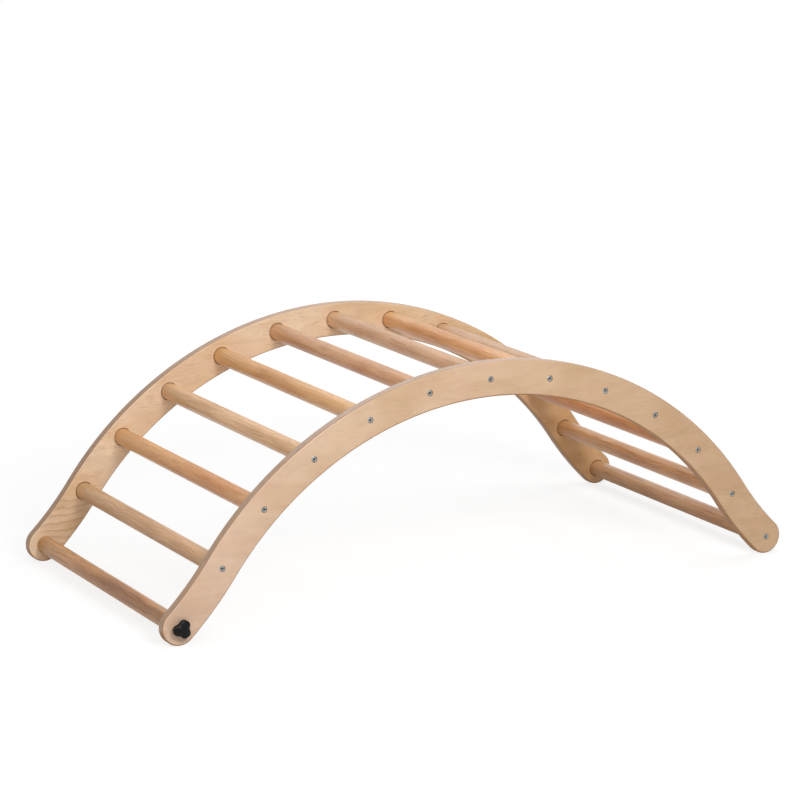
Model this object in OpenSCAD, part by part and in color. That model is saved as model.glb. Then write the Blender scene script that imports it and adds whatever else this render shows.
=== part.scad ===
/* [Arch] */
// Clear width between the two side panels
clear_w = 530; // [400:1:700]
// Radius of the circle that the rung centres follow
arch_r = 600; // [520:5:750]
// Angle between one rung and the next on the round of the arch
rung_step = 11; // [9:0.25:12]
// Radius of the reverse curve that turns each foot outward
flare_r = 580; // [350:5:900]

/* [Side panels] */
// Thickness of the plywood
panel_t = 18; // [15:0.5:24]
// Width of the curved band
band_w = 60; // [50:1:80]
// Radius of the round-over along both edges of the band
arris_r = 3; // [1:0.25:5]
// Depth of the blind sockets that hold the rungs
socket_depth = 8; // [5:0.5:11]
// Radial clearance between a rung and its socket
socket_fit = 0.3; // [0.1:0.05:0.6]

/* [Rungs] */
// Diameter of the rungs and of the crossbar
rung_d = 30; // [24:1:38]
// Chamfer on the ends of the rungs and of the crossbar
rung_chamfer = 0.8; // [0.3:0.1:2]
// Gap between a rung's end and the bottom of its socket
rung_end_gap = 0.2; // [0.1:0.1:0.6]

/* [Rung screws] */
// Diameter of a screw's shank
screw_d = 5; // [4:0.5:6]
// Diameter of a screw's countersunk head
screw_head_d = 10; // [8.5:0.25:12]
// Length of a screw, head included
screw_l = 50; // [35:1:70]
// Depth of a screw head's rim below the panel's face
screw_sink = 0.2; // [0.1:0.1:0.8]
// Span of the cross recess in the head
recess_w = 5; // [4:0.25:6]
// Width of the slots of the cross recess
recess_slot = 1.1; // [0.8:0.1:1.5]
// Depth of the cross recess
recess_depth = 1.6; // [0.8:0.1:2.2]
// Radial clearance of a screw in the panel
screw_clear = 0.25; // [0.1:0.05:0.5]
// Radial clearance of a screw in the rung's pilot hole
pilot_fit = 0.05; // [0.02:0.01:0.1]

/* [Knobs] */
// Diameter of the circle through the tips of the three lobes
knob_d = 32; // [28:0.5:42]
// Depth of the waist between two lobes, below the tips
lobe_depth = 4.6; // [2:0.2:6]
// Height of the lobed head
head_h = 10.5; // [8:0.5:16]
// Radius of the rounded rim of the head
rim_r = 3.4; // [2:0.2:4]
// Rise of the domed top above its rim
crown_h = 1.2; // [0.4:0.1:2]
// Diameter of the collar under the head
collar_d = 17; // [14:0.5:20]
// Height of the collar under the head
collar_h = 4; // [2:0.5:8]

/* [Studs, washers and inserts] */
// Diameter of the threaded stud
stud_d = 8; // [6:0.5:9]
// Chamfer at the free end of the stud
stud_chamfer = 1; // [0.4:0.1:1.5]
// Length of stud that is moulded into the knob
stud_grip = 9; // [6:0.5:11]
// Length of stud that reaches past the insert
stud_spare = 3; // [1:0.5:8]
// Radial clearance of the stud in the side panel
stud_clear = 0.4; // [0.2:0.05:1]
// Radial clearance of the stud in the thread of the insert
thread_fit = 0.08; // [0.03:0.01:0.1]
// Outer diameter of the washer
washer_d = 16; // [14:0.5:22]
// Thickness of the washer
washer_t = 1.6; // [1:0.1:2.5]
// Radial clearance of the stud in the washer
washer_clear = 0.2; // [0.1:0.05:0.4]
// Running gap on each side of the washer
washer_gap = 0.1; // [0.05:0.05:0.3]
// Outer diameter of the threaded insert
insert_d = 12; // [11:0.5:16]
// Length of the threaded insert
insert_l = 15; // [10:0.5:25]
// Depth of the insert's mouth below the end of the crossbar
insert_sink = 0.3; // [0.1:0.1:1]
// Radial clearance of the insert in the crossbar
insert_fit = 0.05; // [0.02:0.01:0.1]

/* [Hidden] */

// Rungs are counted from the crossbar, which is rung 1, to the last rung at the other foot
rung_count = 13;
mid_rung = (rung_count + 1) / 2;
// Rungs on each side of the middle one that sit on the round of the arch; one more sits at the foot
arch_side_rungs = mid_rung - 2;

// The band leaves the arch at this slope, and the reverse curve spans one rung spacing
arch_end = arch_side_rungs * rung_step;
rung_pitch = 2 * arch_r * sin(rung_step / 2);
flare_sweep = 2 * asin(rung_pitch / (2 * flare_r));
foot_slope = arch_end - flare_sweep;

// Centres in the plane of a panel, [along, up]; the feet stand on the line up = 0
flare_x = (arch_r + flare_r) * sin(arch_end);
foot_x = flare_x - flare_r * sin(foot_slope);
foot_z = band_w / 2;
flare_z = foot_z + flare_r * cos(foot_slope);
arch_z = flare_z - (arch_r + flare_r) * cos(arch_end);

function rung_place(i) =
    let (step = i - mid_rung)
    abs(step) > arch_side_rungs
        ? [sign(step) * foot_x, foot_z]
        : [arch_r * sin(step * rung_step), arch_z + arch_r * cos(step * rung_step)];

// Angle by which stretches of the same arc run into each other
arc_lap = 2;

curve_fn = 360;
round_fn = 64;
small_fn = 40;
through = 1;

// Countersunk head: the cone runs from the head's rim down to the shank
head_cone_h = (screw_head_d - screw_d) / 2;
// The point is a cone as long as the shank is wide, with a blunt end
tip_h = screw_d;
tip_d = 1;
// Depth of the pilot hole past the screw's point
pilot_spare = 1;

// Heights above the panel's outer face
washer_z = panel_t + washer_gap;
knob_z = washer_z + washer_t + washer_gap;

// How far the stud reaches into the crossbar, and how far its hole goes on past it
stud_reach = insert_sink + insert_l + stud_spare;
stud_hole_spare = 4;

lobes = 3;
lobe_turn = 64;
// Above 1, the lobes are broad and the waists between them narrow
lobe_fullness = 2;
waist_r = knob_d / 2 - lobe_depth;
// The underside's rim is rounded half as much as the upper one
lower_rim_r = rim_r / 2;
// Drop of the dome's last ring below the crown
crown_drop = crown_h / 4;
knob_points = 72;
rim_steps = 5;

// The panels' own frame: x along, y up, z outward from the panel's inner face
module near_side() {
    translate([0, -clear_w / 2, 0])
        rotate([90, 0, 0])
            children();
}

module far_side() {
    mirror([0, 1, 0])
        near_side()
            children();
}

// Places its children at rung i, in the panel's own frame
module at_rung(i) {
    place = rung_place(i);
    translate([place[0], place[1], 0])
        children();
}

// Half of the band's section, from its middle line to one rounded edge
module half_section() {
    reach = band_w / 2;
    translate([0, arris_r])
        square([reach, panel_t - 2 * arris_r]);
    square([reach - arris_r, panel_t]);
    for (height = [arris_r, panel_t - arris_r])
        translate([reach - arris_r, height])
            circle(r = arris_r, $fn = small_fn);
}

module band_section() {
    half_section();
    mirror([1, 0])
        half_section();
}

// One curved stretch of the band, swept about the origin from the x axis
module band_arc(radius, sweep) {
    rotate_extrude(angle = sweep, $fn = curve_fn)
        translate([radius, 0])
            band_section();
}

// The last stretch of the reverse curve and the round end, which meet on the x axis
module foot_end() {
    mirror([0, 1, 0])
        band_arc(flare_r, 2 * arc_lap);
    translate([flare_r, 0, 0])
        rotate_extrude(angle = 180, $fn = curve_fn)
            half_section();
}

// Half of the blank. The origin is the centre of the arch, and the x axis passes through
// the place where the round of the arch hands over to the reverse curve.
module half_blank() {
    band_arc(arch_r, arch_end + arc_lap);
    translate([arch_r + flare_r, 0, 0])
        rotate([0, 0, 180]) {
            band_arc(flare_r, flare_sweep - arc_lap);
            rotate([0, 0, flare_sweep])
                foot_end();
        }
}

module panel_blank() {
    translate([0, arch_z, 0])
        for (side = [0, 1])
            mirror([side, 0, 0])
                rotate([0, 0, 90 - arch_end])
                    half_blank();
}

// Blind socket on the inner face, and the screw's hole and countersink behind it,
// as one turned cutter
module socket_and_screw_hole() {
    socket_r = rung_d / 2 + socket_fit;
    hole_r = screw_d / 2 + screw_clear;
    head_r = screw_head_d / 2 + screw_clear;
    rim = panel_t - screw_sink;
    rotate_extrude($fn = round_fn)
        polygon([
            [0, -through],
            [socket_r, -through],
            [socket_r, socket_depth],
            [hole_r, socket_depth],
            [hole_r, rim - head_cone_h],
            [head_r, rim],
            [head_r, panel_t + through],
            [0, panel_t + through]
        ]);
}

module stud_hole() {
    translate([0, 0, -through])
        cylinder(d = stud_d + 2 * stud_clear, h = panel_t + 2 * through, $fn = small_fn);
}

module side_panel() {
    color([0.87, 0.74, 0.60])
        difference() {
            panel_blank();
            for (i = [2:rung_count])
                at_rung(i)
                    socket_and_screw_hole();
            at_rung(1)
                stud_hole();
        }
}

// A round bar along the panel's z axis, centred between the panels, with chamfered ends
module dowel(length) {
    bar_r = rung_d / 2;
    translate([0, 0, -(clear_w + length) / 2])
        rotate_extrude($fn = round_fn)
            polygon([
                [0, 0],
                [bar_r - rung_chamfer, 0],
                [bar_r, rung_chamfer],
                [bar_r, length - rung_chamfer],
                [bar_r - rung_chamfer, length],
                [0, length]
            ]);
}

// Repeats its children at both ends of a bar, each end in the near panel's frame
module both_ends() {
    children();
    translate([0, 0, -clear_w])
        mirror([0, 0, 1])
            children();
}

module rung(i) {
    depth = socket_depth - rung_end_gap;
    color([0.84, 0.62, 0.45])
        near_side()
            at_rung(i)
                difference() {
                    dowel(clear_w + 2 * depth);
                    both_ends()
                        translate([0, 0, panel_t - screw_sink - screw_l - pilot_spare])
                            cylinder(
                                d = screw_d + 2 * pilot_fit,
                                h = screw_l + pilot_spare,
                                $fn = small_fn
                            );
                }
}

module crossbar() {
    color([0.80, 0.58, 0.43])
        near_side()
            at_rung(1)
                difference() {
                    dowel(clear_w);
                    both_ends() {
                        translate([0, 0, -insert_sink - insert_l])
                            cylinder(
                                d = insert_d + 2 * insert_fit,
                                h = insert_sink + insert_l + through,
                                $fn = small_fn
                            );
                        translate([0, 0, -stud_reach - stud_hole_spare])
                            cylinder(
                                d = stud_d + 2 * stud_clear,
                                h = stud_reach + stud_hole_spare,
                                $fn = small_fn
                            );
                    }
                }
}

// Countersunk screw with its rim at z = 0 and its point below
module screw() {
    shank_r = screw_d / 2;
    difference() {
        rotate_extrude($fn = small_fn)
            polygon([
                [0, -screw_l],
                [tip_d / 2, -screw_l],
                [shank_r, -screw_l + tip_h],
                [shank_r, -head_cone_h],
                [screw_head_d / 2, 0],
                [0, 0]
            ]);
        for (turn = [0, 90])
            rotate([0, 0, turn])
                translate([-recess_w / 2, -recess_slot / 2, -recess_depth])
                    cube([recess_w, recess_slot, recess_depth + through]);
    }
}

module rung_screws() {
    color([0.70, 0.71, 0.72])
        for (i = [2:rung_count])
            at_rung(i)
                translate([0, 0, panel_t - screw_sink])
                    screw();
}

module crossbar_insert() {
    color([0.78, 0.66, 0.36])
        at_rung(1)
            translate([0, 0, -insert_sink - insert_l])
                difference() {
                    cylinder(d = insert_d, h = insert_l, $fn = small_fn);
                    translate([0, 0, -through])
                        cylinder(
                            d = stud_d + 2 * thread_fit,
                            h = insert_l + 2 * through,
                            $fn = small_fn
                        );
                }
}

module knob_washer() {
    color([0.72, 0.73, 0.74])
        at_rung(1)
            translate([0, 0, washer_z])
                difference() {
                    cylinder(d = washer_d, h = washer_t, $fn = round_fn);
                    translate([0, 0, -through])
                        cylinder(
                            d = stud_d + 2 * washer_clear,
                            h = washer_t + 2 * through,
                            $fn = small_fn
                        );
                }
}

module knob_stud() {
    bottom = -stud_reach;
    top = knob_z + stud_grip;
    stud_r = stud_d / 2;
    color([0.66, 0.67, 0.68])
        at_rung(1)
            rotate_extrude($fn = small_fn)
                polygon([
                    [0, bottom],
                    [stud_r - stud_chamfer, bottom],
                    [stud_r, bottom + stud_chamfer],
                    [stud_r, top],
                    [0, top]
                ]);
}

// Radius of the head's outline at an angle: a circle through the tips, drawn in at the waists
function lobe_r(angle) =
    let (waist = (1 - cos(lobes * (angle - lobe_turn))) / 2)
    knob_d / 2 - lobe_depth * pow(waist, lobe_fullness);

// The head's rings from its underside up, each [inset from the outline, height]
head_rings = concat(
    [for (k = [0:rim_steps])
        let (turn = 90 * k / rim_steps)
        [lower_rim_r * (1 - sin(turn)), lower_rim_r * (1 - cos(turn))]],
    [for (k = [0:rim_steps])
        let (turn = 90 * k / rim_steps)
        [rim_r * (1 - cos(turn)), head_h - crown_h - rim_r * (1 - sin(turn))]],
    [[(waist_r + rim_r) / 2, head_h - crown_drop]]
);

// The three-lobed head as a closed skin over its rings, with a low dome on top
module knob_head() {
    rings = len(head_rings);
    outline = [for (j = [0:knob_points - 1]) 360 * j / knob_points];
    points = concat(
        [for (ring = head_rings, angle = outline)
            let (r = (lobe_r(angle) - ring[0]))
            [r * cos(angle), r * sin(angle), ring[1]]],
        [[0, 0, head_rings[0][1]], [0, 0, head_h]]
    );
    floor_point = rings * knob_points;
    crown_point = floor_point + 1;
    last = (rings - 1) * knob_points;
    faces = concat(
        [for (j = [0:knob_points - 1])
            [floor_point, j, (j + 1) % knob_points]],
        [for (k = [0:rings - 2], j = [0:knob_points - 1])
            let (low = k * knob_points, next = (j + 1) % knob_points)
            [low + j, low + knob_points + j, low + next]],
        [for (k = [0:rings - 2], j = [0:knob_points - 1])
            let (low = k * knob_points, next = (j + 1) % knob_points)
            [low + next, low + knob_points + j, low + knob_points + next]],
        [for (j = [0:knob_points - 1])
            [crown_point, last + (j + 1) % knob_points, last + j]]
    );
    polyhedron(points = points, faces = faces);
}

module knob() {
    color([0.09, 0.09, 0.10])
        at_rung(1)
            translate([0, 0, knob_z])
                difference() {
                    union() {
                        cylinder(d = collar_d, h = collar_h + lower_rim_r, $fn = round_fn);
                        translate([0, 0, collar_h])
                            knob_head();
                    }
                    translate([0, 0, -through])
                        cylinder(
                            d = stud_d + 2 * pilot_fit,
                            h = stud_grip + through + washer_gap,
                            $fn = small_fn
                        );
                }
}

function rung_name(i) = str("rung_", i < 10 ? "0" : "", i);

near_side() side_panel();  // near_side_panel
far_side() side_panel();  // far_side_panel
crossbar();
for (i = [2:rung_count])
    rung(i);
near_side() rung_screws();  // near_rung_screws
far_side() rung_screws();  // far_rung_screws
near_side() crossbar_insert();  // near_crossbar_insert
far_side() crossbar_insert();  // far_crossbar_insert
near_side() knob();  // near_knob
far_side() knob();  // far_knob
near_side() knob_stud();  // near_knob_stud
far_side() knob_stud();  // far_knob_stud
near_side() knob_washer();  // near_knob_washer
far_side() knob_washer();  // far_knob_washer
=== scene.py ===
"""Looks of a wooden rocker arch: birch plywood sides, hardwood rungs, black knobs."""

import math

import bmesh
import bpy
from mathutils import Matrix, Vector
from mathutils.geometry import delaunay_2d_cdt


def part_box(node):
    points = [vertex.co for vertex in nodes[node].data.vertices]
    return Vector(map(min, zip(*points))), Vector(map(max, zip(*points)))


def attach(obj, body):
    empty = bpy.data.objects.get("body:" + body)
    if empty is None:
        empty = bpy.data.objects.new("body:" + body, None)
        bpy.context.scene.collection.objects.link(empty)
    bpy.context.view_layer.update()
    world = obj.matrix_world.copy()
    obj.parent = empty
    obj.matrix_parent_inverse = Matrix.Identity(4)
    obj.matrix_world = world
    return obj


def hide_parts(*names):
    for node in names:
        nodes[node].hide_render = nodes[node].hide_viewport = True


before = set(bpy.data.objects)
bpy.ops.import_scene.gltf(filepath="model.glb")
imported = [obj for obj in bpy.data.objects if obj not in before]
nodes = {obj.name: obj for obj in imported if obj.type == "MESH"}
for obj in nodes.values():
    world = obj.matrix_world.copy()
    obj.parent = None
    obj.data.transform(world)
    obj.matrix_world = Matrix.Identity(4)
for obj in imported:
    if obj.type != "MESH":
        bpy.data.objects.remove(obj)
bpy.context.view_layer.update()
# The dowels, from the foot at the -x end to the one at the +x end
RUNGS = ["crossbar"] + ["rung_%02d" % i for i in range(2, 14)]


def srgb(r, g, b):
    """Linear colour from display values of 0 to 255."""
    def lin(c):
        c /= 255
        return c / 12.92 if c <= 0.04045 else ((c + 0.055) / 1.055) ** 2.4
    return (lin(r), lin(g), lin(b), 1.0)


def grey(level):
    """Grey of a linear level."""
    return (level, level, level, 1.0)


COAT_ROUGHNESS = 0.22


class Graph:
    """The node tree of a material or a world, built from small steps that return sockets."""

    def __init__(self, owner):
        owner.use_nodes = True
        self.owner, self.tree = owner, owner.node_tree
        self.tree.nodes.clear()

    def put(self, value, socket):
        """Links a socket, or sets a number or colour; None leaves the default."""
        if isinstance(value, bpy.types.NodeSocket):
            self.tree.links.new(value, socket)
        elif value is not None:
            socket.default_value = value

    def node(self, kind, inputs=(), **props):
        """A node with its first inputs filled in order."""
        n = self.tree.nodes.new("ShaderNode" + kind)
        for key, value in props.items():
            setattr(n, key, value)
        for value, socket in zip(inputs, n.inputs):
            self.put(value, socket)
        return n

    def math(self, op, a, b=None):
        return self.node("Math", (a, b), operation=op).outputs[0]

    def plus(self, a, b):
        return self.math("ADD", a, b)

    def times(self, a, b):
        return self.math("MULTIPLY", a, b)

    def vec(self, op, a, b=None, scale=None):
        n = self.node("VectorMath", (a, b), operation=op)
        if op == "SCALE":
            self.put(scale, n.inputs["Scale"])
        return n.outputs["Value" if op == "LENGTH" else "Vector"]

    def place(self):
        """The point on the object, in metres."""
        return self.node("TexCoord").outputs["Object"]

    def split(self, vector):
        return self.node("SeparateXYZ", (vector,)).outputs

    def join(self, x, y, z):
        return self.node("CombineXYZ", (x, y, z)).outputs[0]

    def facing_down(self, level, steep, most):
        """0 where the normal's z is level or higher, and most where it is steep or lower."""
        up = self.split(self.node("NewGeometry").outputs["Normal"])[2]
        return self.step(up, level, steep, 0.0, most)

    def noise(self, vector, scale, detail, rough=0.5, distortion=0.0, seed=None):
        n = self.node("TexNoise", noise_dimensions="3D" if seed is None else "4D")
        self.put(vector, n.inputs["Vector"])
        if seed is not None:
            n.inputs["W"].default_value = seed
        n.inputs["Scale"].default_value = scale
        n.inputs["Detail"].default_value = detail
        n.inputs["Roughness"].default_value = rough
        n.inputs["Distortion"].default_value = distortion
        return n.outputs["Fac"]

    def figure(self, vector, per_metre, detail, rough=0.5, distortion=0.0, seed=None):
        """Noise with a number of features per metre along each axis."""
        vector = self.vec("MULTIPLY", vector, per_metre)
        return self.noise(vector, 1.0, detail, rough, distortion, seed)

    def step(self, value, low, high, out_low=0.0, out_high=1.0):
        """Smooth step from out_low at low to out_high at high."""
        n = self.node("MapRange", (value, low, high, out_low, out_high),
                      interpolation_type="SMOOTHSTEP")
        return n.outputs[0]

    def line(self, value, low, high, out_low=0.0, out_high=1.0, clamp=True):
        """Straight line from out_low at low to out_high at high."""
        n = self.node("MapRange", (value, low, high, out_low, out_high), clamp=clamp)
        return n.outputs[0]

    def mix(self, factor, a, b, blend="MIX"):
        n = self.node("Mix", (factor,), data_type="RGBA", blend_type=blend)
        self.put(a, n.inputs[6])
        self.put(b, n.inputs[7])
        return n.outputs[2]

    def bump(self, height, distance, strength):
        n = self.node("Bump")
        n.inputs["Strength"].default_value = strength
        n.inputs["Distance"].default_value = distance
        self.put(height, n.inputs["Height"])
        return n.outputs[0]

    def surface(self, color, rough, normal=None, metallic=0.0, gloss=0.5, coat=0.0):
        """Ends the tree in one shader, and returns its material."""
        n = self.node("BsdfPrincipled")
        self.put(color, n.inputs["Base Color"])
        self.put(rough, n.inputs["Roughness"])
        self.put(normal, n.inputs["Normal"])
        n.inputs["Metallic"].default_value = metallic
        n.inputs["Specular IOR Level"].default_value = gloss
        self.put(coat, n.inputs["Coat Weight"])
        n.inputs["Coat Roughness"].default_value = COAT_ROUGHNESS
        self.node("OutputMaterial", (n.outputs[0],))
        return self.owner


def material(name):
    """The empty graph of a new material."""
    return Graph(bpy.data.materials.new(name))


def add_object(name, data):
    """A new object in the scene."""
    obj = bpy.data.objects.new(name, data)
    bpy.context.scene.collection.objects.link(obj)
    return obj


def wear(piece, look):
    """Gives a piece one material."""
    piece.data.materials.clear()
    piece.data.materials.append(look)


# ---------------------------------------------------------------- plywood
# Coat of lacquer on faces and edges, and height and strength of the wood's bump
WOOD_COAT, EDGE_COAT = 0.07, 0.20
FIBRE_DEPTH, FIBRE_STRENGTH = 0.0001, 0.6
PLY_COUNT = 13
PINK, OLIVE, CUT_VENEER = srgb(230, 189, 166), srgb(210, 181, 141), srgb(190, 154, 122)
LONG_PLY, END_PLY, GLUE = srgb(226, 193, 167), srgb(184, 151, 126), srgb(126, 94, 72)
# Painted shade: the edge's tint at the left foot and the colour of its underside. The blush is the
# veneer's own pink.
FOOT_SHADE, UNDERSIDE_SHADE, BLUSH = srgb(241, 232, 214), srgb(160, 115, 71), srgb(224, 189, 170)
# The x at which a tint begins and is full: edge left of the crown and edge at the left foot, both
# painted shade, and face at the left foot
SLOPE_EDGE, FOOT_EDGE, FOOT_FACE = (0.02, -0.22), (-0.25, -0.50), (-0.28, -0.46)
# The normal's z at which the painted shade on the edge's underside begins, and at which it is
# darkest
LEVEL_EDGE, STEEP_EDGE = 0.0, -0.3


def veneer(g, p, z, moved, pale, warm, grain, marks, bold):
    """Rotary-cut birch with its grain along x: its colour, growth lines and fibres."""
    # Broad patches of tone
    patch = g.figure(moved, (6.0, 0.0, 14.0), 3.0, 0.55, 0.4)
    hue = g.figure(moved, (7.0, 0.0, 16.0), 2.0, 0.5, 0.3, seed=4.0)
    olive = g.figure(moved, (5.0, 0.0, 22.0), 2.0, 0.5, 0.3, seed=7.0)
    face = g.mix(g.step(patch, 0.36, 0.66), pale, warm)
    face = g.mix(g.line(hue, 0.40, 0.65, 0.0, 0.30), face, PINK)
    face = g.mix(g.line(olive, 0.45, 0.70, 0.0, 0.34 * marks), face, OLIVE)

    # Growth lines like the contours on a map, faint outside a few zones
    field = g.figure(moved, (1.8, 0.0, 9.0), 2.0, 0.45, 0.3)
    wobble = g.figure(moved, (14.0, 0.0, 40.0), 2.0, 0.6)
    rings = g.math("FRACT", g.plus(g.times(field, 11.0), g.times(wobble, 0.4)))
    lines = g.times(g.step(rings, 0.25, 0.9), g.step(rings, 1.0, 0.92))
    zone = g.step(g.figure(moved, (2.4, 0.0, 5.0), 1.0, seed=9.0), 0.42, 0.62)
    face = g.mix(g.times(lines, g.line(zone, 0.0, 1.0, 0.04, 0.15)), face, grain)

    # One place with bold stripes
    bold_x, bold_z, reach, spacing = bold
    away = g.vec("SUBTRACT", p, (bold_x, 0.0, bold_z))
    away = g.vec("LENGTH", g.vec("MULTIPLY", away, (1.0, 0.0, 1.0)))
    near_bold = g.step(away, reach, reach * 0.5)
    bend = g.figure(moved, (20.0, 0.0, 13.0), 3.0, seed=6.0)
    stripe = g.math("FRACT", g.plus(g.math("DIVIDE", z, spacing), g.times(bend, 2.4)))
    stripe = g.times(g.step(stripe, 0.50, 0.92), g.step(stripe, 1.0, 0.94))
    face = g.mix(g.times(near_bold, 0.28), face, grain)
    face = g.mix(g.times(g.times(stripe, near_bold), 0.5), face, grain)

    # Short smudges in groups, blots, long fibres and pores
    smudge = g.figure(moved, (48.0, 0.0, 300.0), 2.0, 0.5, 0.8)
    group = g.step(g.figure(moved, (11.0, 0.0, 26.0), 1.0, seed=2.0), 0.42, 0.6)
    smudge = g.times(g.step(smudge, 0.52, 0.66), group)
    blot = g.figure(moved, (26.0, 0.0, 60.0), 3.0, 0.6, 0.5, seed=12.0)
    fibre = g.figure(moved, (16.0, 30.0, 900.0), 3.0, 0.65)
    pore = g.step(g.figure(moved, (90.0, 40.0, 1900.0), 1.0), 0.66, 0.78)
    face = g.mix(g.times(smudge, 0.30 * marks), face, grain)
    face = g.mix(g.line(blot, 0.50, 0.72, 0.0, 0.20), face, grain)
    face = g.mix(g.line(fibre, 0.3, 0.7, 0.0, 0.13), face, grain)
    face = g.mix(g.times(pore, 0.20), face, grain)
    return face, lines, fibre


def laminate(g, moved, depth):
    """The sawn edge at a depth counted in plies: its colour, glue lines and pores.
    Every other ply is cut across its fibres."""
    within = g.math("FRACT", depth)
    across = g.math("PINGPONG", g.math("FLOOR", depth), 1.0)
    glue = g.math("MAXIMUM", g.step(within, 0.90, 1.0), g.step(within, 0.10, 0.0))
    pores = g.figure(moved, (1400.0, 700.0, 1400.0), 2.0, 0.6)
    streaks = g.figure(moved, (60.0, 1500.0, 60.0), 3.0, 0.6)
    tone = g.figure(moved, (9.0, 5.0, 9.0), 2.0)
    end = g.mix(g.step(pores, 0.45, 0.75), END_PLY, GLUE)
    long = g.mix(g.step(streaks, 0.35, 0.75), LONG_PLY, END_PLY)
    edge = g.mix(g.times(glue, 0.7), g.mix(across, long, end), GLUE)
    return g.mix(g.line(tone, 0.3, 0.7, 0.0, 0.3), edge, LONG_PLY), glue, pores


def plywood(name, outer_y, inner_y, shift, pale, warm, grain, marks, blush, bold, drift,
            slope_tint, shade):
    """Lacquered birch plywood whose sheet lies in the xz plane, with its grain along x.

    shift picks the place in the pattern, and pale, warm and grain are the veneer's tones.
    marks is the strength of its olive patches and smudges, blush that of its pink left foot.
    bold is (x, z, radius, spacing) of the place where growth lines stand out.
    drift is (x, x, tint): from the first x to the second the veneer takes on the tint, partly its
    own tone and partly painted shade and warm bounced light.
    slope_tint is the edge's painted shade left of the crown, and shade how far painted shade
    darkens its underside."""
    g = material(name)
    p = g.place()
    x, y, z = g.split(p)
    moved = g.vec("ADD", p, shift)
    face, lines, fibre = veneer(g, p, z, moved, pale, warm, grain, marks, bold)
    face = g.mix(g.line(x, *FOOT_FACE, 0.0, blush), face, BLUSH)
    # Partly the veneer's tone and partly painted light: darker and warmer towards the right, where
    # the light falls off and light bounced off the wood warms the far leg
    start, stop, tint = drift
    face = g.mix(g.line(x, start, stop), face, tint, "MULTIPLY")

    # Depth in plies from the outer face; an arris cuts into the face veneer
    plies_per_metre = PLY_COUNT / abs(outer_y - inner_y)
    depth = g.times(g.math("ABSOLUTE", g.math("SUBTRACT", y, outer_y)), plies_per_metre)
    cut = g.step(g.math("MINIMUM", depth, g.math("SUBTRACT", PLY_COUNT, depth)), 0.05, 0.6)
    face = g.mix(g.times(cut, 0.5), face, CUT_VENEER)
    waver = g.figure(moved, (6.0, 0.0, 6.0), 2.0)
    depth = g.plus(depth, g.line(waver, 0.3, 0.7, -0.07, 0.07))

    edge, glue, pores = laminate(g, moved, depth)
    # Painted shade: the edge is darker left of the crown, where it catches less light, and at the
    # left foot, where the light from the left is weaker
    edge = g.mix(g.line(x, *SLOPE_EDGE), edge, slope_tint, "MULTIPLY")
    edge = g.mix(g.line(x, *FOOT_EDGE), edge, FOOT_SHADE, "MULTIPLY")
    skin_ply = g.math("MAXIMUM", g.step(depth, 1.0, 0.9),
                      g.step(depth, PLY_COUNT - 1.0, PLY_COUNT - 0.9))
    # Painted shade: the edge darkens where it faces down
    under = g.facing_down(LEVEL_EDGE, STEEP_EDGE, shade)
    color = g.mix(under, g.mix(skin_ply, edge, face), UNDERSIDE_SHADE)

    rough = g.plus(g.line(fibre, 0.3, 0.7, 0.38, 0.48), g.line(skin_ply, 0.0, 1.0, -0.08, 0.0))
    rough = g.plus(rough, g.times(under, 0.6))
    height = g.plus(g.times(fibre, 0.35), g.times(lines, 0.2))
    rugged = g.plus(pores, g.times(glue, -0.8))
    height = g.plus(height, g.times(g.math("SUBTRACT", 1.0, skin_ply), rugged))
    normal = g.bump(height, FIBRE_DEPTH, FIBRE_STRENGTH)
    coat = g.times(g.math("SUBTRACT", 1.0, under),
                   g.line(skin_ply, 0.0, 1.0, EDGE_COAT, WOOD_COAT))
    return g.surface(color, rough, normal, gloss=0.28, coat=coat)


def hole_shade_ply(name):
    """Raw plywood in a bored hole, painted dark as the shade in the gaps round the rung ends and
    screw heads.
    """
    g = material(name)
    mottle = g.figure(g.place(), (300.0, 900.0, 300.0), 3.0, 0.6)
    color = g.mix(mottle, srgb(74, 44, 24), srgb(44, 27, 15))
    return g.surface(color, 0.8, g.bump(mottle, FIBRE_DEPTH, FIBRE_STRENGTH), gloss=0.1)


# ---------------------------------------------------------------- dowels
# Each dowel's light, dark and grain tones, the turn of its pith in degrees, how far off that
# lies, how much farther it gets per metre, the width of its rings, and its figure's strength
DOWELS = [
    ((225, 168, 112), (191, 128, 64), (110, 60, 24), 150, 0.032, 0.016, 0.0095, 0.75),
    ((233, 188, 142), (214, 165, 120), (166, 120, 80), 75, 0.040, 0.020, 0.0030, 0.5),
    ((238, 181, 120), (217, 151, 91), (164, 100, 54), 150, 0.024, 0.020, 0.0035, 0.5),
    ((248, 206, 160), (229, 181, 131), (182, 130, 86), 154, 0.031, 0.032, 0.0050, 0.9),
    ((243, 193, 136), (227, 166, 104), (176, 116, 64), 334, 0.030, 0.024, 0.0052, 0.7),
    ((231, 181, 136), (208, 150, 104), (158, 102, 66), 150, 0.040, 0.015, 0.0040, 0.5),
    ((231, 188, 151), (213, 166, 126), (166, 114, 78), 110, 0.036, 0.015, 0.0038, 0.5),
    ((240, 189, 139), (221, 161, 106), (170, 110, 62), 170, 0.046, 0.015, 0.0040, 0.5),
    ((229, 194, 159), (212, 172, 136), (168, 124, 90), 250, 0.040, 0.020, 0.0030, 0.5),
    ((223, 179, 136), (206, 160, 118), (164, 116, 80), 320, 0.034, 0.020, 0.0030, 0.5),
    ((222, 154, 98), (202, 132, 79), (152, 94, 50), 160, 0.048, 0.020, 0.0044, 0.35),
    ((226, 175, 125), (199, 141, 89), (148, 96, 56), 130, 0.042, 0.015, 0.0042, 0.2),
    ((216, 173, 131), (192, 141, 98), (142, 92, 58), 300, 0.030, 0.012, 0.0040, 0.32),
]
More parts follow.
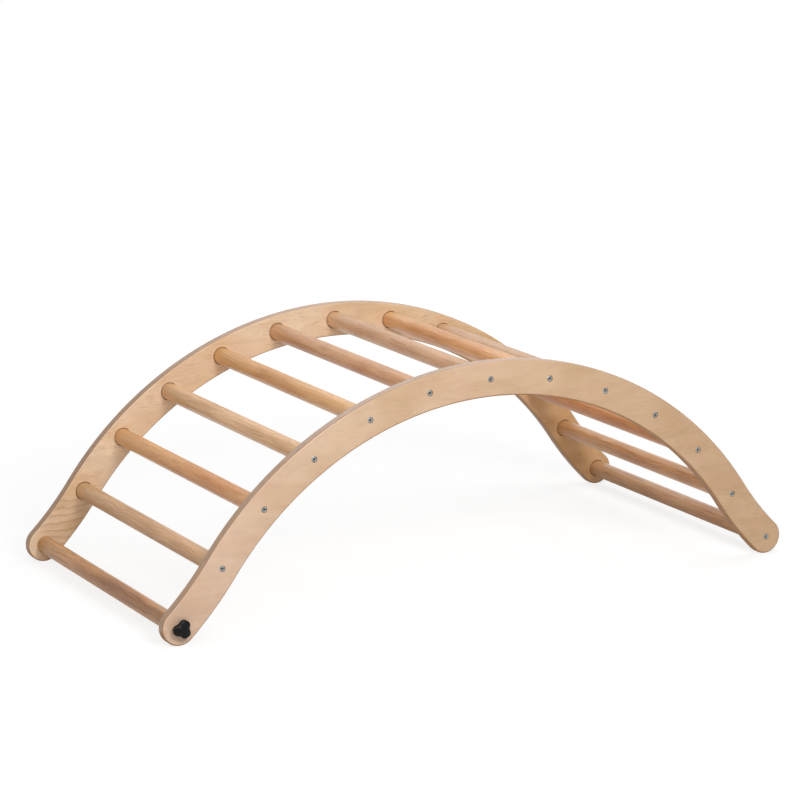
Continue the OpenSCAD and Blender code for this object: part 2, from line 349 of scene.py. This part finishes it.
# Painted shade on the underside, coat of lacquer and darkness of the heart: of the dowels nearest
# the floor, by their row above, and of the others
LOW_DOWELS = {0: (0.15, 0.20, 0.45), 1: (0.14, 0.09, 0.0),
              11: (0.08, 0.22, 0.0), 12: (0.42, 0.26, 0.0)}
HIGH_DOWEL = (0.0, WOOD_COAT, 0.0)
PALE_END, UNDER_SHADE = srgb(208, 170, 124), srgb(207, 196, 184)
# The direction in which a log sways, the distances from its pith at which the dark heart begins
# and is full, and those from a dowel's middle at which its pale ends do
ACROSS, HEART_EDGE, HEART_FULL, PALE_FROM, PALE_TO = (0.44, 0.0, 0.90), 0.025, 0.017, 0.15, 0.27
# The normal's z at which the painted shade on a dowel's underside begins, and at which it is
# darkest
LEVEL_DOWEL, STEEP_DOWEL = 0.6, -0.6


def dowel_wood(name, centre, light, dark, grain, turn, pith, tilt, spacing, figure, seed,
               shade, coat, heart):
    """Lacquered hardwood with its grain along y, cut from a log whose pith lies off the dowel."""
    g = material(name)
    light, dark, grain = srgb(*light), srgb(*dark), srgb(*grain)

    # Distance from the pith, with the log's sway and the rings' bends and ripples
    p = g.vec("SUBTRACT", g.place(), (centre.x, 0.0, centre.z))
    along = g.split(p)[1]
    sway = g.noise(g.join(seed, g.times(along, 9.0), 0.0), 1.0, 2.0, 0.55, seed=seed)
    sway = g.line(sway, 0.3, 0.7, -0.006, 0.006, clamp=False)
    p = g.vec("ADD", p, g.vec("SCALE", ACROSS, scale=sway))
    pith_ray = (math.cos(math.radians(turn)), 0.0, math.sin(math.radians(turn)))
    pith_line = g.vec("SCALE", pith_ray, scale=g.plus(g.times(along, tilt), pith))
    flat = g.vec("SUBTRACT", g.vec("MULTIPLY", p, (1.0, 0.0, 1.0)), pith_line)
    p = g.vec("ADD", p, (0.0, seed * 1.7, 0.0))
    bend = g.figure(p, (8.0, 5.0, 8.0), 2.0, seed=seed)
    ripple = g.figure(p, (60.0, 18.0, 60.0), 3.0, 0.6, seed=seed + 3)
    radius = g.plus(g.vec("LENGTH", flat), g.line(bend, 0.2, 0.8, -0.005, 0.005, clamp=False))
    radius = g.plus(radius, g.times(ripple, spacing * 0.16))

    # Growth rings that darken to a sharp edge, and wide bands, both uneven in strength
    ring = g.math("FRACT", g.math("DIVIDE", radius, spacing))
    late = g.times(g.step(ring, 0.25, 0.92), g.step(ring, 1.0, 0.94))
    early = g.step(ring, 0.16, 0.0)
    vary = g.line(g.figure(p, (25.0, 9.0, 25.0), 1.0, seed=seed + 9), 0.35, 0.65, 0.2, 1.0)
    level = g.join(g.math("DIVIDE", radius, spacing * 2.2), g.times(along, 2.0), seed * 3.1)
    band = g.step(g.noise(level, 2.0, 2.0, 0.55), 0.44, 0.66)
    cloud = g.figure(p, (40.0, 7.0, 40.0), 2.0, seed=seed + 7)
    color = g.mix(g.step(cloud, 0.35, 0.65), light, dark)
    color = g.mix(g.times(band, figure * 0.42), color, grain)
    color = g.mix(g.times(g.times(late, vary), figure * 0.55), color, grain)
    color = g.mix(g.times(g.times(early, vary), figure * 0.50), color, light)

    # Streaks, fine vessels, fibres and rays, and ends that are paler
    streak = g.figure(p, (130.0, 3.0, 130.0), 3.0, 0.55, seed=seed + 5)
    fine = g.figure(p, (420.0, 11.0, 420.0), 2.0, 0.6, seed=seed + 6)
    fibre = g.figure(p, (1100.0, 14.0, 1100.0), 3.0, 0.65)
    ray = g.step(g.figure(p, (700.0, 170.0, 700.0), 1.0, seed=seed), 0.68, 0.78)
    color = g.mix(g.line(streak, 0.38, 0.66, 0.0, 0.45), color, dark)
    color = g.mix(g.step(fine, 0.50, 0.68, 0.0, 0.42), color, grain)
    color = g.mix(g.step(fine, 0.46, 0.32, 0.0, 0.50), color, light)
    color = g.mix(g.line(fibre, 0.35, 0.7, 0.0, 0.14), color, grain)
    color = g.mix(g.times(ray, 0.40), color, grain)
    ends = g.step(g.math("ABSOLUTE", along), PALE_FROM, PALE_TO, 0.0, 0.32)
    color = g.mix(ends, color, PALE_END)
    rough = g.line(fibre, 0.3, 0.7, 0.28, 0.36)
    if heart:
        color = g.mix(g.step(radius, HEART_EDGE, HEART_FULL, 0.0, heart), color, grain)
    # Painted shade: the dowel darkens where it faces down
    if shade:
        under = g.facing_down(LEVEL_DOWEL, STEEP_DOWEL, shade)
        color = g.mix(under, color, UNDER_SHADE, "MULTIPLY")
        rough = g.plus(rough, under)
        coat = g.times(g.math("SUBTRACT", 1.0, under), coat)
    height = g.plus(g.times(fibre, 0.4), g.times(late, -0.2))
    normal = g.bump(height, FIBRE_DEPTH, FIBRE_STRENGTH)
    return g.surface(color, rough, normal, gloss=0.3, coat=coat)


# ---------------------------------------------------------------- metal and plastic
# Painted shade on a screw head's rounding and in its recess: where below the rim each begins to
# darken, where it is darkest, and how dark that is
ROUNDING_SHADE, RECESS_SHADE = (0.00004, 0.0003, 0.62), (0.0003, 0.0015, 0.95)


def zinc(name, face_y=None):
    """Bright zinc plating: clouded, finely scratched, and with painted shade in the hollows below
    face_y.
    """
    g = material(name)
    p = g.place()
    cloud = g.figure(p, (420.0, 420.0, 420.0), 3.0, 0.6)
    scratch = g.figure(p, (5200.0, 900.0, 700.0), 2.0, 0.6)
    color = g.mix(g.step(cloud, 0.3, 0.75), srgb(190, 191, 188), srgb(98, 99, 97))
    # Painted shade: darker down the head's rounding into the gap, and in the cross recess
    if face_y:
        level = g.math("ABSOLUTE", g.split(p)[1])
        darks = [g.step(level, face_y - start, face_y - stop, 0.0, most)
                 for start, stop, most in (ROUNDING_SHADE, RECESS_SHADE)]
        color = g.mix(g.math("MAXIMUM", *darks), color, srgb(26, 28, 32))
    normal = g.bump(scratch, 0.00002, 0.35)
    return g.surface(color, g.line(cloud, 0.3, 0.7, 0.26, 0.44), normal, metallic=1.0)


def brass(name):
    """Plain brass, slightly clouded."""
    g = material(name)
    cloud = g.figure(g.place(), (300.0, 300.0, 300.0), 3.0, 0.6)
    color = g.mix(cloud, srgb(214, 178, 96), srgb(168, 132, 66))
    return g.surface(color, g.line(cloud, 0.3, 0.7, 0.25, 0.45), metallic=1.0)


def moulded_black(name):
    """Satin black plastic with the fine grain of a spark-eroded mould and handling scuffs."""
    g = material(name)
    p = g.place()
    grain = g.figure(p, (1500.0, 1500.0, 1500.0), 2.0, 0.6)
    scuff = g.figure(p, (120.0, 120.0, 300.0), 4.0, 0.65)
    color = g.mix(g.step(scuff, 0.5, 0.8), srgb(11, 11, 13), srgb(23, 23, 25))
    rough = g.plus(g.line(grain, 0.3, 0.7, 0.26, 0.36), g.line(scuff, 0.5, 0.8, 0.0, 0.1))
    return g.surface(color, rough, g.bump(grain, 0.00003, 0.5), gloss=0.16)


# ---------------------------------------------------------------- side panels
ARCH_R, FLARE_R, HALF_BAND = 0.600, 0.580, 0.030
ARCH_END = math.radians(55)
ARCH_STEPS, FLARE_STEPS, FOOT_STEPS = 56, 12, 40
THICK, ARRIS, ARRIS_STEPS = 0.018, 0.003, 6
SOCKET_R, SOCKET_DEPTH, MOUTH = 0.0153, 0.008, 0.0008
SCREW_HOLE_R, HEAD_R, HEAD_SINK, STUD_HOLE_R = 0.00275, 0.00525, 0.0002, 0.0044
HOLE_POINTS, SAME_POINT = 64, 1e-8


def middle(name):
    """Centre of a node's box in the xz plane."""
    low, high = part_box(name)
    return Vector(((low.x + high.x) / 2, (low.z + high.z) / 2))


def turns(count):
    """Angles of count points round a circle."""
    return [2 * math.pi * k / count for k in range(count)]


def outline():
    """The band's outline in the xz plane: points and their outward normals, in one closed loop."""
    foot = middle("rung_13")
    arch = middle("rung_07") - Vector((0, ARCH_R))
    flare = arch + (ARCH_R + FLARE_R) * Vector((math.sin(ARCH_END), math.cos(ARCH_END)))
    slope = math.atan2(flare.x - foot.x, flare.y - foot.y)

    def sweep(centre, radius, start, stop, count, outward):
        """An arc about centre; angles run from straight up, towards +x."""
        steps = [start + (stop - start) * k / count for k in range(count)]
        rays = [Vector((math.sin(t), math.cos(t))) for t in steps]
        return [(centre + radius * r, r * outward) for r in rays]

    # Right half: underside from the crown to the foot, round the foot, and back over the top
    turn = math.pi
    loop = sweep(arch, ARCH_R - HALF_BAND, 0, ARCH_END, ARCH_STEPS, -1)
    loop += sweep(flare, FLARE_R + HALF_BAND, ARCH_END + turn, slope + turn, FLARE_STEPS, 1)
    loop += sweep(foot, HALF_BAND, slope + turn, slope, FOOT_STEPS, 1)
    loop += sweep(flare, FLARE_R - HALF_BAND, slope + turn, ARCH_END + turn, FLARE_STEPS, -1)
    loop += sweep(arch, ARCH_R + HALF_BAND, ARCH_END, 0, ARCH_STEPS, 1)
    crown = (arch + Vector((0, ARCH_R + HALF_BAND)), Vector((0, 1)))
    mirrored = [(Vector((-p.x, p.y)), Vector((-n.x, n.y))) for p, n in reversed(loop[1:])]
    return loop + [crown] + mirrored


def panel(name, inner_y, outer_y, node, looks):
    """The plywood band with rounded edges, blind sockets, screw holes and the stud's hole."""
    side = 1 if outer_y > inner_y else -1
    low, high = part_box(node)
    verts, faces = [], []

    def corner(point, height):
        x, z = max(low.x, min(high.x, point.x)), max(low.z, min(high.z, point.y))
        verts.append(Vector((x, inner_y + side * height, z)))
        return len(verts) - 1

    def normal(flat, rise):
        return Vector((flat.x, side * rise, flat.y)).normalized()

    def add(indices, normals, slot=0):
        a, b, c = (verts[i] for i in indices[:3])
        if (b - a).cross(c - a).dot(sum(normals, Vector())) < 0:
            indices, normals = indices[::-1], normals[::-1]
        faces.append((indices, normals, slot))

    def strips(rings, bends, rays, slot=0):
        """Quads between neighbouring rings of one point count. Each bend has the (flat, rise)
        parts of the normals at its two rings."""
        count = len(rings[0])
        for k, (first, second) in enumerate(bends):
            for i in range(count):
                j = (i + 1) % count
                quad = ((k, i, first), (k, j, first), (k + 1, j, second), (k + 1, i, second))
                add([rings[row][at] for row, at, _ in quad],
                    [normal(rays[at] * flat, rise) for _, at, (flat, rise) in quad], slot)

    # The rim, from the inner face round both arrises to the outer face
    loop = outline()
    section = []
    for k in range(ARRIS_STEPS + 1):
        t = math.pi / 2 * k / ARRIS_STEPS
        section.append((ARRIS * (1 - math.sin(t)), ARRIS * (1 - math.cos(t)),
                        math.sin(t), -math.cos(t)))
    section += [(inset, THICK - height, flat, -rise)
                for inset, height, flat, rise in reversed(section)]
    rim = [[corner(p - n * inset, height) for p, n in loop] for inset, height, _, _ in section]
    strips(rim, [(a[2:], b[2:]) for a, b in zip(section, section[1:])], [n for _, n in loop])

    # The holes wear the second material, whose dark colour is painted shade for the gaps at their
    # mouths
    # The holes, from the inner face to the outer one
    circle = [Vector((math.cos(t), math.sin(t))) for t in turns(HOLE_POINTS)]
    cone_start = THICK - HEAD_SINK - (HEAD_R - SCREW_HOLE_R)
    socket = [(SOCKET_R + MOUTH, 0), (SOCKET_R, MOUTH), (SOCKET_R, SOCKET_DEPTH),
              (SCREW_HOLE_R, SOCKET_DEPTH), (SCREW_HOLE_R, cone_start),
              (HEAD_R, THICK - HEAD_SINK), (HEAD_R, THICK)]
    inner_holes, outer_holes = [], []
    for rung in RUNGS:
        centre = middle(rung)
        steps = [(STUD_HOLE_R, 0), (STUD_HOLE_R, THICK)] if rung == "crossbar" else socket
        rings = [[corner(centre + r * ray, height) for ray in circle] for r, height in steps]
        bends = [((h0 - h1, r1 - r0),) * 2 for (r0, h0), (r1, h1) in zip(steps, steps[1:])]
        strips(rings, bends, circle, 1)
        inner_holes.append((centre, steps[0][0], rings[0]))
        outer_holes.append((centre, steps[-1][0], rings[-1]))

    # The two flat faces, each triangulated round its holes
    for border, holes, rise in ((rim[0], inner_holes, -1), (rim[-1], outer_holes, 1)):
        loops = [border] + [ring for _, _, ring in holes]
        index = [i for ring in loops for i in ring]
        flat = [Vector((verts[i].x, verts[i].z)) for i in index]
        edges, start = [], 0
        for ring in loops:
            edges += [(start + k, start + (k + 1) % len(ring)) for k in range(len(ring))]
            start += len(ring)
        points, _, triangles, origin, _, _ = delaunay_2d_cdt(flat, edges, [], 1, SAME_POINT)
        for tri in triangles:
            centre = sum((points[i] for i in tri), Vector((0, 0))) / 3
            if all((centre - c).length > r * math.cos(math.pi / HOLE_POINTS)
                   for c, r, _ in holes):
                add([index[origin[i][0]] for i in tri], [Vector((0, side * rise, 0))] * 3)

    mesh = bpy.data.meshes.new(name)
    mesh.from_pydata(verts, [], [f[0] for f in faces])
    for look in looks:
        mesh.materials.append(look)
    mesh.polygons.foreach_set("material_index", [f[2] for f in faces])
    mesh.polygons.foreach_set("use_smooth", [True] * len(faces))
    mesh.normals_split_custom_set([n for f in faces for n in f[1]])
    piece = add_object(name, mesh)
    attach(piece, "frame")
    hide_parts(node)


# The two sheets, in the words of plywood's own description
SHEETS = {
    "near": dict(
        shift=(3.1, 0.0, 7.3), marks=0.6, blush=0.22, shade=0.7,
        pale=srgb(226, 197, 169), warm=srgb(216, 183, 151), grain=srgb(180, 142, 109),
        bold=(0.30, 0.17, 0.08, 0.014), drift=(-0.55, 0.55, srgb(252, 244, 229)),
        slope_tint=srgb(236, 236, 239)),
    "far": dict(
        shift=(11.7, 0.0, 2.6), marks=1.0, blush=0.0, shade=0.45,
        pale=srgb(248, 220, 189), warm=srgb(239, 204, 163), grain=srgb(186, 142, 100),
        bold=(-0.532, 0.064, 0.062, 0.0120), drift=(0.12, 0.42, srgb(254, 238, 212)),
        slope_tint=srgb(232, 225, 220)),
}
for side, sheet in SHEETS.items():
    node = side + "_side_panel"
    low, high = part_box(node)
    outer, inner = (low.y, high.y) if side == "near" else (high.y, low.y)
    panel(side + "_ply_band", inner, outer, node,
          [plywood(side + "_birch_plywood", outer, inner, **sheet),
           hole_shade_ply(side + "_hole_shade_ply")])


# ---------------------------------------------------------------- turned and moulded pieces
SHARP_ANGLE = math.radians(38)


def skin(name, shells, body, node, look):
    """Closed skins over rings of points; a ring of one point is a pole. The piece replaces a
    node."""
    bm = bmesh.new()
    for rings in shells:
        rows = [[bm.verts.new(p) for p in ring] for ring in rings]
        for a, b in zip(rows, rows[1:]):
            count = max(len(a), len(b))
            for i in range(count):
                j = (i + 1) % count
                quad = [a[i % len(a)], a[j % len(a)], b[j % len(b)], b[i % len(b)]]
                bm.faces.new(list(dict.fromkeys(quad)))
    bmesh.ops.recalc_face_normals(bm, faces=bm.faces)
    for face in bm.faces:
        face.smooth = True
    mesh = bpy.data.meshes.new(name)
    bm.to_mesh(mesh)
    bm.free()
    mesh.set_sharp_from_angle(angle=SHARP_ANGLE)
    piece = add_object(name, mesh)
    wear(piece, look)
    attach(piece, body)
    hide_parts(node)


POLE = [0.0]


def around(centre, y, radii, spin=0.0):
    """A ring about centre at y, with one point for each radius."""
    return [(centre.x + r * math.cos(t + spin), y, centre.y + r * math.sin(t + spin))
            for r, t in zip(radii, turns(len(radii)))]


SCREW_R, SCREW_HEAD_R, SCREW_LONG, SCREW_TIP_R = 0.0025, 0.005, 0.050, 0.0005
SCREW_POINTS, WING, WING_SPAN, CORE, RECESS_DEEP = 64, 0.0008, 0.0027, 0.0015, 0.0026
# Share of the recess's outline and depth of each of its rings, and radius and depth of the head's
RECESS = ((0.5, 0.0019), (0.97, 0.00015), (1.04, 0.0))
HEAD_RIM = ((0.0038, 0.0), (0.0044, 0.00008), (0.0049, 0.00028), (SCREW_HEAD_R, 0.0004))


def recess_r(angle):
    """Outline of the cross recess: four wings on a round core."""
    angle %= math.pi / 2
    off = math.sin(min(angle, math.pi / 2 - angle))
    return max(CORE, min(WING_SPAN, WING / off if off > 0 else WING_SPAN))


def screw(centre, rim_y, side, spin):
    """Rings of one countersunk screw, from its recess round its head to its point."""
    cross = [recess_r(t) for t in turns(SCREW_POINTS)]
    cone = SCREW_HEAD_R - SCREW_R
    shank = ((SCREW_R, cone), (SCREW_R, SCREW_LONG - 2 * SCREW_R), (SCREW_TIP_R, SCREW_LONG))
    steps = [(RECESS_DEEP, POLE)]
    steps += [(depth, [r * share for r in cross]) for share, depth in RECESS]
    steps += [(depth, [r] * SCREW_POINTS) for r, depth in HEAD_RIM + shank]
    steps.append((SCREW_LONG, POLE))
    return [around(centre, rim_y - side * depth, radii, spin) for depth, radii in steps]


KNOB_R, WAIST, LOBES, LOBE_TURN, KNOB_POINTS = 0.016, 0.0046, 3, math.radians(64), 144
COLLAR_R, COLLAR_H, HEAD_H = 0.0085, 0.004, 0.0105
DOME, RIM, RIM_LEAN, RIM_STEPS = 0.0022, 0.0036, math.radians(71), 8
LOW_RIM, LOW_RIM_STEPS = 0.0017, 6
STUD_R, BORE_SLACK, BORE_DEEP = 0.004, 0.00005, 0.009
# Height and radius of each ring of the collar, and each ring's share of the crown's outline
COLLAR = ((0.0, COLLAR_R - 0.0004), (0.00012, COLLAR_R - 0.0001), (0.0004, COLLAR_R),
          (COLLAR_H - 0.0003, COLLAR_R), (COLLAR_H, COLLAR_R + 0.0003))
CROWN = (0.9, 0.78, 0.64, 0.48, 0.3, 0.12)


def knob(centre, base_y, side):
    """Rings of the lobed knob, from the end of its stud's hole round collar and head to the
    crown."""
    dips = [((1 - math.cos(LOBES * (t - LOBE_TURN))) / 2) ** 2 for t in turns(KNOB_POINTS)]

    def lobed(height, inset, share=1.0):
        return height, [(KNOB_R - WAIST * dip - inset) * share for dip in dips]

    bore = ((BORE_DEEP, STUD_R + BORE_SLACK), (0.0, STUD_R + BORE_SLACK))
    steps = [(BORE_DEEP, POLE)]
    steps += [(height, [r] * KNOB_POINTS) for height, r in bore + COLLAR]
    for k in range(LOW_RIM_STEPS + 1):
        t = math.pi / 2 * k / LOW_RIM_STEPS
        steps.append(lobed(COLLAR_H + LOW_RIM * (1 - math.cos(t)), LOW_RIM * (1 - math.sin(t))))
    crown = COLLAR_H + HEAD_H
    shoulder = crown - DOME - RIM * math.sin(RIM_LEAN)
    for k in range(RIM_STEPS + 1):
        t = RIM_LEAN * k / RIM_STEPS
        inset, top = RIM * (1 - math.cos(t)), shoulder + RIM * math.sin(t)
        steps.append(lobed(top, inset))
    # The dome, from where the rim ends
    steps += [lobed(top + (crown - top) * (1 - share * share), inset, share) for share in CROWN]
    steps.append((crown, POLE))
    return [around(centre, base_y + side * height, radii) for height, radii in steps]


THREAD_PITCH, THREAD_DEEP, THREAD_POINTS, THREAD_RINGS = 0.00125, 0.0007, 24, 6
CHAMFER = 0.001


def stud(centre, low_y, high_y, side):
    """Rings of the threaded stud along y; the thread runs out at the chamfered free end."""
    count = int((high_y - low_y) / THREAD_PITCH * THREAD_RINGS)
    steps = [(low_y, POLE)]
    for k in range(count + 1):
        y = low_y + (high_y - low_y) * k / count
        to_end = high_y - y if side < 0 else y - low_y
        limit = STUD_R - max(0.0, CHAMFER - to_end)
        phases = [(side * y / THREAD_PITCH - i / THREAD_POINTS) % 1
                  for i in range(THREAD_POINTS)]
        radii = [min(STUD_R - THREAD_DEEP * abs(2 * phase - 1), limit) for phase in phases]
        steps.append((y, radii))
    steps.append((high_y, POLE))
    return [around(centre, y, radii) for y, radii in steps]


# Turn of the screws' recesses in degrees: a start, and a step from each rung to the next
SPIN_START, SPIN_STEP = 20, 37
foot = middle("crossbar")
insert_brass, knob_black = brass("insert_brass"), moulded_black("knob_black")
plain_zinc = zinc("plain_zinc")
for side, sign in (("near", -1), ("far", 1)):
    low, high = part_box(side + "_side_panel")
    rim = (low.y if sign < 0 else high.y) - sign * HEAD_SINK
    heads = [screw(middle(rung), rim, sign, math.radians(SPIN_STEP * k + SPIN_START))
             for k, rung in enumerate(RUNGS) if rung != "crossbar"]
    skin(side + "_screws", heads, "frame", side + "_rung_screws",
         zinc(side + "_screw_zinc", abs(rim)))
    low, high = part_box(side + "_knob")
    base = high.y if sign < 0 else low.y
    skin(side + "_lobed_knob", [knob(foot, base, sign)], side + "_knob",
         side + "_knob", knob_black)
    low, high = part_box(side + "_knob_stud")
    skin(side + "_thread", [stud(foot, low.y, high.y, sign)], side + "_knob",
         side + "_knob_stud", plain_zinc)
    wear(nodes[side + "_knob_washer"], plain_zinc)
    wear(nodes[side + "_crossbar_insert"], insert_brass)

for k, name in enumerate(RUNGS):
    low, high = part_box(name)
    wear(nodes[name], dowel_wood(name + "_wood", (low + high) / 2, *DOWELS[k], float(k + 1),
                                 *LOW_DOWELS.get(k, HIGH_DOWEL)))

# ---------------------------------------------------------------- floor and background
HALF_FLOOR = 7.0
# The floor in view glows, so that it is white: at this level out to one distance from the
# object's centre, and at 1 beyond the other. Its own grey takes the shadow.
FLOOR_GLOW, GLOW_NEAR, GLOW_FAR, SHADOWED = 0.81, 0.7, 2.2, grey(0.25)
# The floor as it bounces light on the object, and the world's white in view and light on it
BOUNCING, WHITE, WORLD_LIGHT = grey(0.80), grey(1.0), 0.1


def seen(g):
    """1 for rays from the camera, a mirror or glass, 0 for the light that reaches the object."""
    path = g.node("LightPath").outputs
    reflected = g.math("MAXIMUM", path["Is Glossy Ray"], path["Is Transmission Ray"])
    return g.math("MAXIMUM", path["Is Camera Ray"], reflected)


floor_mesh = bpy.data.meshes.new("floor")
floor_mesh.from_pydata([(-HALF_FLOOR, -HALF_FLOOR, 0), (HALF_FLOOR, -HALF_FLOOR, 0),
                        (HALF_FLOOR, HALF_FLOOR, 0), (-HALF_FLOOR, HALF_FLOOR, 0)],
                       [], [(0, 1, 2, 3)])
floor = add_object("floor", floor_mesh)
g = material("floor_white")
level = g.step(g.vec("LENGTH", g.place()), GLOW_NEAR, GLOW_FAR, FLOOR_GLOW, 1.0)
glow, own = g.node("Emission", (None, level)), g.node("BsdfDiffuse", (SHADOWED,))
both = g.node("AddShader", (glow.outputs[0], own.outputs[0]))
plain = g.node("BsdfDiffuse", (BOUNCING,))
pick = g.node("MixShader", (seen(g), plain.outputs[0], both.outputs[0]))
g.node("OutputMaterial", (pick.outputs[0],))
wear(floor, g.owner)

g = Graph(bpy.data.worlds.new("studio"))
soft, white = g.node("Background", (WHITE, WORLD_LIGHT)), g.node("Background", (WHITE, 1.0))
pick = g.node("MixShader", (seen(g), soft.outputs[0], white.outputs[0]))
g.node("OutputWorld", (pick.outputs[0],))
bpy.context.scene.world = g.owner

# ---------------------------------------------------------------- lamps and camera
# What the lamps point at; name, place, side in metres and power in watts of each square lamp
AIM = Vector((0.0, 0.0, 0.2))
LAMPS = (
    ("key", (-0.3, -2.2, 1.6), 0.6, 24.0),
    ("left_front", (-1.2, -1.8, 1.5), 1.6, 18.0),
    ("left", (-2.4, -0.3, 1.8), 1.6, 14.0),
    ("overhead", (0.9, 0.2, 1.8), 1.2, 14.0),
    ("back", (0.0, 1.3, 1.8), 1.2, 6.0),
)
for name, place, size, power in LAMPS:
    light = bpy.data.lights.new(name, "AREA")
    light.shape, light.size, light.energy = "SQUARE", size, power
    lamp = add_object(name, light)
    lamp.location = place
    lamp.rotation_euler = (AIM - Vector(place)).to_track_quat("-Z", "Y").to_euler()

CAMERA_LENS, SENSOR_WIDTH, CLIP_START, CLIP_END = 138.45, 36.0, 0.1, 60.0
CAMERA_PLACE = Vector((-2.533848, -4.512186, 1.487036))
CAMERA_RIGHT = Vector((0.873498, -0.486803, 0.004906))
CAMERA_UP = Vector((0.106430, 0.200788, 0.973836))
CAMERA_BACK = Vector((-0.475052, -0.850122, 0.227198))
camera = bpy.data.cameras.new("camera")
camera.lens, camera.sensor_width, camera.sensor_fit = CAMERA_LENS, SENSOR_WIDTH, "HORIZONTAL"
camera.clip_start, camera.clip_end = CLIP_START, CLIP_END
eye = add_object("camera", camera)
facing = Matrix((CAMERA_RIGHT, CAMERA_UP, CAMERA_BACK)).transposed().to_4x4()
eye.matrix_world = Matrix.Translation(CAMERA_PLACE) @ facing
bpy.context.scene.camera = eye
bpy.context.scene.view_settings.view_transform = "Standard"
